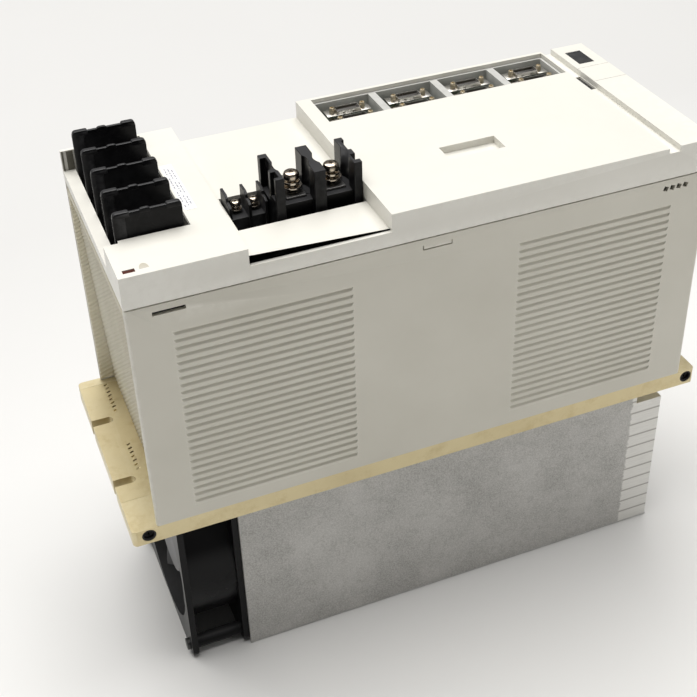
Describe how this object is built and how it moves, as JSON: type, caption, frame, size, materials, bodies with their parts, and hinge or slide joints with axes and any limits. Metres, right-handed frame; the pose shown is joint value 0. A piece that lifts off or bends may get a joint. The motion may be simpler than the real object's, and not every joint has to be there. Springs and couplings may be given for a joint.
{
  "type": "servo drive",
  "caption": "Panel-mount servo amplifier: louvred moulded case over a finned heat sink with an axial fan, screw terminal blocks, connector bays and a hinged switch lid.",
  "frame": {"origin": "centre of the overall footprint, on the underside of the heat sink's bottom sheet", "axes": "+X along the length from the wire terminals to the display end, +Y across the width to the connector side, +Z from the heat sink to the front cover"},
  "size_m": [0.38, 0.15, 0.318],
  "materials": {
    "passivated": "yellow chromate passivation, satin",
    "sink_alloy": "mottled cast surface with milled ends",
    "sheet_steel": "galvanised, satin",
    "steel": "nickel plated",
    "black_steel": "black oxide",
    "copper": "bare copper, dull",
    "plate_alloy": "tin plated, satin",
    "shell_metal": "tin plated, satin",
    "brass_post": "nickel wash over brass",
    "cover_plastic": "fine texture",
    "case_plastic": "fine texture",
    "panel_plastic": "fine texture",
    "grey_plastic": "fine texture",
    "black_plastic": "glass filled, satin",
    "blue_plastic": "satin",
    "lead_rubber": "matt",
    "label_film": "satin film",
    "lens": "clear red",
    "window_glass": "smoked",
    "board": "solder mask",
    "can_sleeve": "heat shrink sleeve",
    "ribbon": "flat cable"
  },
  "bodies": {
    "drive": {"base_plate": "passivated", "lower_mounting_bracket": "passivated", "upper_mounting_bracket": "passivated", "side_plug_screws": "black_plastic", "bracket_screws": "steel", "heat_sink": "sink_alloy", "sink_bottom_sheet": "sheet_steel", "fan_adapter_plate": "sheet_steel", "fan_frame": "black_plastic", "fan_bearings": "steel", "fan_stator": "copper", "fan_screws": "black_steel", "fan_lead": "lead_rubber", "lead_grommet": "lead_rubber", "side_case": "case_plastic", "case_screws": "steel", "end_panel": "panel_plastic", "front_cover": "cover_plastic", "cover_screws": "steel", "lamp_lens": "lens", "charge_lamp": "lens", "terminal_label": "label_film", "display_bezel": "cover_plastic", "display_window": "window_glass", "digit_module": "black_plastic", "display_board": "board", "rotary_switch": "black_plastic", "main_terminal_block": "black_plastic", "main_terminal_plates": "steel", "main_terminal_screws": "steel", "terminal_bracket": "sheet_steel", "phase_bars": "copper", "current_sensors": "blue_plastic", "link_terminal_block": "black_plastic", "link_terminal_plates": "plate_alloy", "link_terminal_screws": "steel", "link_washers": "steel", "link_bars": "copper", "aux_terminal_block": "black_plastic", "aux_terminal_screws": "steel", "connector_frame": "grey_plastic", "connector_shells": "shell_metal", "connector_inserts": "black_plastic", "connector_posts": "brass_post", "control_card": "board", "card_spacers": "steel", "upper_deck": "sheet_steel", "deck_screws": "steel", "power_modules": "black_plastic", "module_screws": "steel", "drive_board": "board", "drive_board_posts": "steel", "capacitors": "can_sleeve", "capacitor_clamp": "sheet_steel", "ribbon_cable": "ribbon"},
    "fan": {"fan_rotor": "black_plastic", "fan_shaft": "steel"},
    "lid": {"switch_lid": "cover_plastic"},
    "selector": {"switch_knob": "cover_plastic"}
  },
  "joints": [
    {"name": "fan_spin", "type": "hinge", "parent": "drive", "child": "fan", "pos_m": [-0.149, -0.0074, 0.0602], "axis": [1, 0, 0], "continuous": true},
    {"name": "lid_hinge", "type": "hinge", "parent": "drive", "child": "lid", "pos_m": [0.1753, 0.0305, 0.2966], "axis": [0, 1, 0], "range_deg": [0, 105]},
    {"name": "selector_turn", "type": "hinge", "parent": "drive", "child": "selector", "pos_m": [0.1655, 0.0305, 0.291], "axis": [0, 0, 1], "continuous": true}
  ]
}
